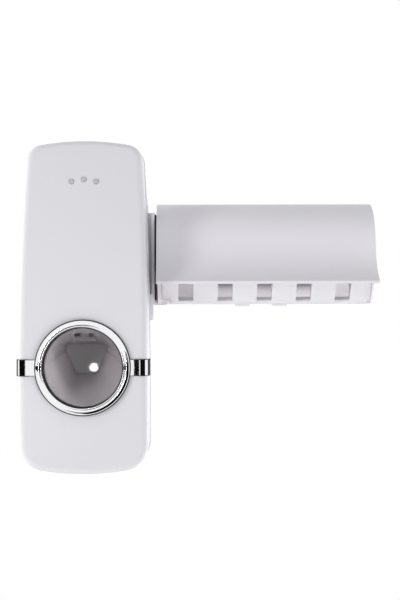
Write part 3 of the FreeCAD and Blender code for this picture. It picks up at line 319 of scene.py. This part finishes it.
ring_low, ring_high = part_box("chrome_ring")
window_height = (ring_low.z + ring_high.z) / 2
bead_radius = 0.00050
bead_from_middle = 0.02015
bead_from_wall = 0.0630
bead_sides = 24
bead_steps = 192
shape = bmesh.new()
bmesh.ops.create_circle(shape, segments=bead_sides, radius=bead_radius)
bmesh.ops.translate(shape, verts=shape.verts, vec=(bead_from_middle, -bead_from_wall, window_height))
bmesh.ops.spin(shape, geom=shape.verts[:] + shape.edges[:], cent=(0, 0, window_height), axis=(0, 1, 0),
               angle=math.tau, steps=bead_steps, use_merge=True)
bmesh.ops.recalc_face_normals(shape, faces=shape.faces)
added("ring_bead", shape, chrome, "cover")

# Black copy of the chrome ring, pushed just past and behind its edge: painted shade, the dark outline
# round it.
shade_past_ring = 0.00036
shade_behind_ring = 0.00035
least_sideways = 0.3
shape = merged(frame["nodes"]["chrome_ring"].data)
shape.normal_update()
for vert in shape.verts:
    away = Vector((vert.normal.x, 0, vert.normal.z))
    if away.length > least_sideways:
        vert.co += away.normalized() * shade_past_ring
    vert.co.y += shade_behind_ring
added("ring_shade_outline", shape, painted_shade_black, "cover")


# Push cup
# The window is the push cup itself, moulded in smoked clear plastic. It swings on two pins,
# and the carrier behind it is clipped to it and shows through as a paler shape.
smoked = grained("Smoked plastic", colour=(0.945, 0.895, 0.935), cloud_colour=(0.935, 0.885, 0.925),
                 roughness=0.022, roughness_spread=0.012, grain_per_metre=700, clouds_per_metre=40,
                 grain_depth=0.0000002)
shader_of(smoked).inputs["IOR"].default_value = 1.46
shader_of(smoked).inputs["Transmission Weight"].default_value = 0.66
cup = dressed("push_cup", smoked)


# Brush holder
# Case, slotted comb and hinged lid are satin white mouldings, the case's a touch warmer and the
# lid's opaque. The lid turns on two stubs, and the comb's tabs pass down through the case.
case_white = grained("Warm white plastic", colour=(0.97, 0.885, 0.965), cloud_colour=(0.96, 0.875, 0.955),
                     roughness=0.42, roughness_spread=0.1, grain_per_metre=2600, clouds_per_metre=35,
                     grain_depth=0.00002)
let_light_in(case_white)
dressed("holder_case", case_white)
dressed("brush_comb", satin_white)
lid_white = grained("Opaque white plastic", colour=(0.80, 0.785, 0.835), cloud_colour=(0.79, 0.775, 0.825),
                    roughness=0.42, roughness_spread=0.1, grain_per_metre=2600, clouds_per_metre=35,
                    grain_depth=0.00002)
dressed("holder_lid", lid_white)


# Studio
# A plain white studio with soft round lamps, one of which lights the cup alone. Black cards
# stand where the chrome mirrors them, and a small flash gives the cup its round highlight.
scene.view_settings.view_transform = "Standard"

camera_place = (0.0488, -0.6751, -0.0030)
camera_turn, camera_lift, camera_roll = -0.0135, 0.0094, 0.0031
towards_wall = Matrix.Rotation(math.pi / 2, 4, "X")
lens_camera = bpy.data.cameras.new("Camera")
lens_camera.lens = 75.73
lens_camera.sensor_width = 36
lens_camera.sensor_fit = "AUTO"
camera = bpy.data.objects.new("Camera", lens_camera)
scene.collection.objects.link(camera)
camera.matrix_world = (Matrix.Translation(camera_place)
                       @ Matrix.Rotation(camera_turn, 4, "Z") @ Matrix.Rotation(camera_lift, 4, "X")
                       @ Matrix.Rotation(camera_roll, 4, "Y") @ towards_wall)
scene.camera = camera

light_on_object = 0.5
white_background = 1.0
world = bpy.data.worlds.new("Studio")
scene.world = world
world.use_nodes = True
tree = world.node_tree
path = tree.nodes.new("ShaderNodeLightPath")
seen = path.outputs["Is Camera Ray"]
for ray in ("Is Glossy Ray", "Is Transmission Ray"):
    either = tree.nodes.new("ShaderNodeMath")
    either.operation = "MAXIMUM"
    tree.links.new(seen, either.inputs[0])
    tree.links.new(path.outputs[ray], either.inputs[1])
    seen = either.outputs[0]
level = tree.nodes.new("ShaderNodeMix")
level.inputs["A"].default_value = light_on_object
level.inputs["B"].default_value = white_background
background = tree.nodes["Background"]
background.inputs["Color"].default_value = (1, 1, 1, 1)
tree.links.new(seen, level.inputs["Factor"])
tree.links.new(level.outputs["Result"], background.inputs["Strength"])

floor_radius = 0.75
floor_middle = (0.05, 0, -0.75)
floor_white = new_material("Pale floor")
shader_of(floor_white).inputs["Base Color"].default_value = (0.9, 0.9, 0.9, 1)
shader_of(floor_white).inputs["Roughness"].default_value = 0.9
floor_mesh = bpy.data.meshes.new("Floor")
shape = bmesh.new()
bmesh.ops.create_circle(shape, cap_ends=True, segments=96, radius=floor_radius)
bmesh.ops.translate(shape, verts=shape.verts, vec=floor_middle)
shape.to_mesh(floor_mesh)
shape.free()
floor_mesh.materials.append(floor_white)
floor = bpy.data.objects.new("Floor", floor_mesh)
scene.collection.objects.link(floor)


def facing(aim, azimuth, elevation, distance):
    """Place and turn of a lamp or card that faces aim; azimuth 0 is in front, positive to the right."""
    turn, lift = math.radians(azimuth), math.radians(elevation)
    away = Vector((math.sin(turn) * math.cos(lift), -math.cos(turn) * math.cos(lift), math.sin(lift)))
    return Matrix.Translation(aim + away * distance) @ away.to_track_quat("Z", "Y").to_matrix().to_4x4()


def round_light(name, size, power):
    """Round area light, still to be placed."""
    data = bpy.data.lights.new(name, "AREA")
    data.shape = "DISK"
    data.size = size
    data.energy = power
    light = bpy.data.objects.new(name, data)
    scene.collection.objects.link(light)
    return light


def lamp(name, azimuth, elevation, distance, size, power):
    """Soft lamp that faces the middle of the object, and that no mirror shows."""
    object_middle = Vector((0.06, -0.03, 0))
    light = round_light(name, size, power)
    light.matrix_world = facing(object_middle, azimuth, elevation, distance)
    light.visible_glossy = False
    light.visible_camera = False
    return light


lamp("Key from the left", azimuth=-48, elevation=8, distance=1.0, size=0.30, power=2.4)
lamp("Left side", azimuth=-100, elevation=0, distance=1.0, size=0.6, power=5.8)
lamp("Behind right", azimuth=118, elevation=0, distance=1.0, size=0.6, power=6.6)
lamp("Above", azimuth=0, elevation=60, distance=1.0, size=0.6, power=0.75)
lamp("Behind the end of the holder", azimuth=132, elevation=8, distance=0.136, size=0.06, power=0.06)
lamp("Low left", azimuth=-50, elevation=-25, distance=0.75, size=0.4, power=0.6)
lamp("Low right", azimuth=45, elevation=-28, distance=0.7, size=0.4, power=1.5)
cup_lamp = lamp("Into the cup from the right", azimuth=60, elevation=12, distance=0.8, size=0.15,
                power=3.0)
cup_only = bpy.data.collections.new("Lit by the cup lamp")
cup_only.objects.link(cup)
cup_lamp.light_linking.receiver_collection = cup_only

flash_place = (-0.0415, -0.675, -0.0590)
flash = round_light("Flash seen in the cup", size=0.0084, power=0.007)
flash.matrix_world = Matrix.Translation(flash_place) @ towards_wall
flash.visible_diffuse = False

card_black = new_material("Black card")
shader_of(card_black).inputs["Base Color"].default_value = (0.004, 0.004, 0.004, 1)
shader_of(card_black).inputs["Roughness"].default_value = 1.0
shader_of(card_black).inputs["Specular IOR Level"].default_value = 0.0


def card(name, azimuth, elevation, distance, width, height, roll=0):
    """Black card that faces the window, and that shows in mirrors alone."""
    window_middle = Vector((0, -0.06, window_height))
    mesh = bpy.data.meshes.new(name)
    shape = bmesh.new()
    bmesh.ops.create_grid(shape, x_segments=1, y_segments=1, size=0.5)
    bmesh.ops.scale(shape, verts=shape.verts, vec=(width, height, 1))
    shape.to_mesh(mesh)
    shape.free()
    mesh.materials.append(card_black)
    board = bpy.data.objects.new(name, mesh)
    scene.collection.objects.link(board)
    board.matrix_world = (facing(window_middle, azimuth, elevation, distance)
                          @ Matrix.Rotation(math.radians(roll), 4, "Z"))
    board.visible_camera = False
    board.visible_diffuse = False
    board.visible_shadow = False
    board.visible_transmission = False


card("Card right", azimuth=58, elevation=-6, distance=0.9, width=0.42, height=0.75)
card("Card below the lens", azimuth=25, elevation=-27, distance=0.38, width=0.52, height=0.34, roll=46)
card("Card low right", azimuth=52, elevation=-42, distance=0.38, width=0.62, height=0.20, roll=62)
card("Strip right of the lens", azimuth=27, elevation=-2.5, distance=0.6, width=0.51, height=0.04)
card("Strip left of the lens", azimuth=-53, elevation=-2.5, distance=0.6, width=1.04, height=0.045)
card("Lens", azimuth=2.3, elevation=-2.5, distance=0.612, width=0.022, height=0.028)
